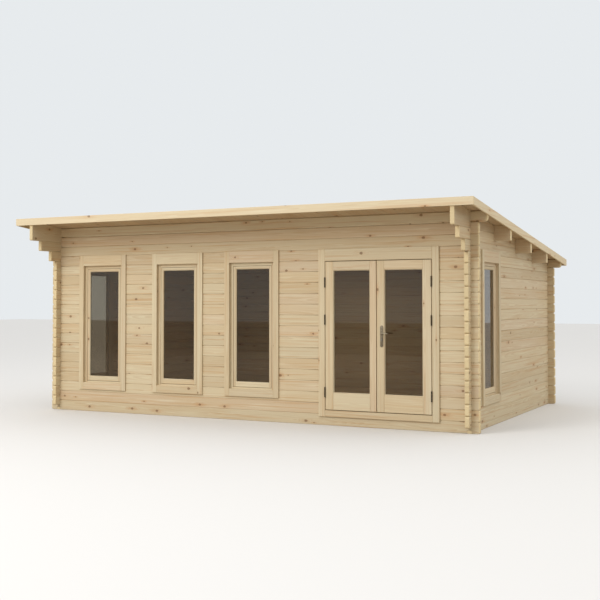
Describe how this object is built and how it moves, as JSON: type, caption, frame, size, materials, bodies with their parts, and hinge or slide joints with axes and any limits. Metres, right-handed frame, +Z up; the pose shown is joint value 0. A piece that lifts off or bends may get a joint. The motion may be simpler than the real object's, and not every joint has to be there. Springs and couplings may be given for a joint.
{
  "type": "log cabin",
  "caption": "Timber log cabin with interlocked corners, a single-pitch roof on stepped log ends, tall narrow windows and a glazed double door.",
  "frame": {"origin": "on the ground under the middle of the four walls, on the underside of the middle floor joist", "axes": "+X along the front towards the door end, +Y from the front to the back, +Z up"},
  "size_m": [6.262, 4.605, 2.5642],
  "materials": {
    "logs": "planed bare pine",
    "joinery": "planed bare pine",
    "edge_boards": "planed bare pine",
    "roof_timber": "planed bare pine",
    "floor_timber": "planed bare pine",
    "roof_felt": "mineral roofing felt",
    "glass": "clear",
    "dark_steel": "dark satin",
    "handle_metal": "satin"
  },
  "bodies": {
    "cabin": {"front_wall_bottom": "logs", "front_wall_left": "logs", "front_wall_right": "logs", "front_wall_top": "logs", "left_wall": "logs", "left_gable": "logs", "right_wall": "logs", "right_gable": "logs", "back_wall": "logs", "purlins": "roof_timber", "roof_boards": "roof_timber", "roof_felt": "roof_felt", "front_fascia": "edge_boards", "back_fascia": "edge_boards", "left_bargeboard": "edge_boards", "right_bargeboard": "edge_boards", "floor_joists": "floor_timber", "floor_boards": "floor_timber", "window_1_frame": "joinery", "window_1_sash": "joinery", "window_1_glass": "glass", "window_2_frame": "joinery", "window_2_sash": "joinery", "window_2_glass": "glass", "window_3_frame": "joinery", "window_3_sash": "joinery", "window_3_glass": "glass", "left_window_frame": "joinery", "left_window_sash": "joinery", "left_window_glass": "glass", "right_window_frame": "joinery", "right_window_sash": "joinery", "right_window_glass": "glass", "door_frame": "joinery", "door_trim": "joinery", "door_frame_hinges": "dark_steel"},
    "left_door": {"left_door": "joinery", "left_door_glass": "glass", "left_door_hinges": "dark_steel"},
    "right_door": {"right_door": "joinery", "right_door_glass": "glass", "right_door_hinges": "dark_steel", "lock_plates": "handle_metal"},
    "handle": {"door_handle": "handle_metal"}
  },
  "joints": [
    {"name": "left_door_hinge", "type": "hinge", "parent": "cabin", "child": "left_door", "pos_m": [1.139, -1.9135, 0], "axis": [0, 0, -1], "range_deg": [0, 150]},
    {"name": "right_door_hinge", "type": "hinge", "parent": "cabin", "child": "right_door", "pos_m": [2.464, -1.9135, 0], "axis": [0, 0, 1], "range_deg": [0, 150]},
    {"name": "handle_turn", "type": "hinge", "parent": "right_door", "child": "handle", "pos_m": [1.861, -1.883, 1.095], "axis": [0, 1, 0], "range_deg": [0, 40], "stiffness_Nm_per_rad": 1.5, "springref_deg": -28.65}
  ]
}
